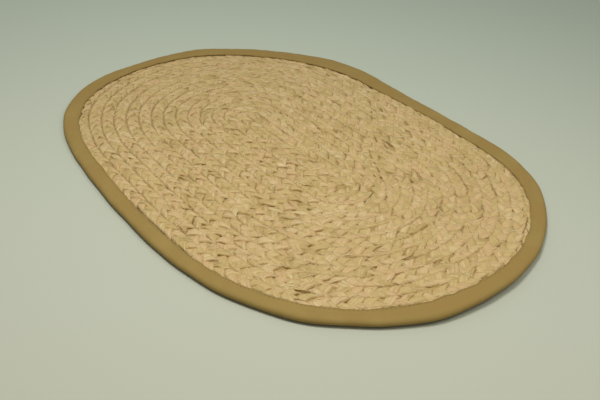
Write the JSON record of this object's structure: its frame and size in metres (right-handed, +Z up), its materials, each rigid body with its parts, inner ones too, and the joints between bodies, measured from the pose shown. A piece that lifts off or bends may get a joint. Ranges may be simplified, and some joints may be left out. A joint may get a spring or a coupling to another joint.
{
  "type": "banana fiber placemat",
  "caption": "Flat oval placemat: a banana fiber plait wound in a spiral and sewn row to row, its edge bound with folded cotton tape.",
  "frame": {"origin": "centre of the mat's outline, on the plane that it lies on", "axes": "+X along the length, +Y across the width, +Z up"},
  "size_m": [0.4792, 0.3408, 0.0066],
  "materials": {
    "banana_fiber": "flat strips of dried fiber, plaited, satin along the grain",
    "cotton_binding": "plain woven cotton tape, matt"
  },
  "bodies": {
    "root": {"braid_mat": "banana_fiber", "edge_binding": "cotton_binding"}
  },
  "joints": []
}
